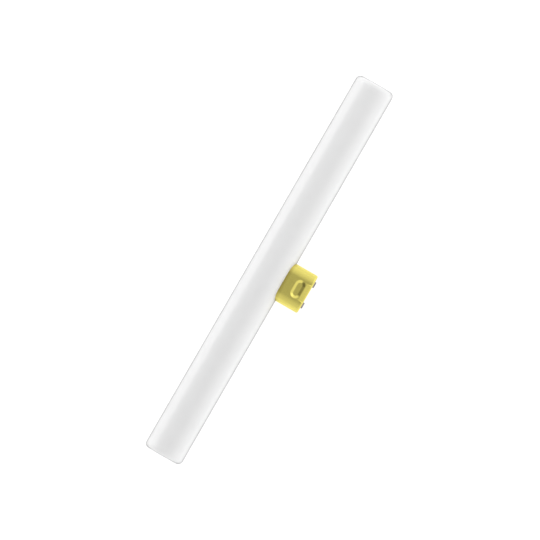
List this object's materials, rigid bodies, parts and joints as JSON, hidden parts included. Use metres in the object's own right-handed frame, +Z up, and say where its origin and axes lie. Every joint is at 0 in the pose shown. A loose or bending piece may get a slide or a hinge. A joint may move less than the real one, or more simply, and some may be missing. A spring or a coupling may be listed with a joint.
{
  "type": "tubular light bulb",
  "caption": "Opal glass tubular lamp with a pressed metal cap on its side, snap dimples, sloped lead-ins and flat end contacts.",
  "frame": {"origin": "On the surface that the lamp lies on, under the middle of its box", "axes": "+X along the tube, +Z up from the surface, the cap on the -Y side and drooping to the surface"},
  "size_m": [0.3, 0.0476, 0.0292],
  "materials": {
    "opal_glass": "smooth opal white, opaque",
    "clear_glass": "clear, fire polished",
    "cement": "matte, fine grained",
    "brass_sheet": "satin yellow, pressed",
    "insulator": "moulded, matte",
    "contact_metal": "dull plated",
    "lead_wire": "drawn wire"
  },
  "bodies": {
    "root": {"envelope": "opal_glass", "stem_press": "clear_glass", "basing_cement": "cement", "cap_shell": "brass_sheet", "contact_plate": "insulator", "contact_left": "contact_metal", "contact_right": "contact_metal", "lead_left": "lead_wire", "lead_right": "lead_wire"}
  },
  "joints": []
}
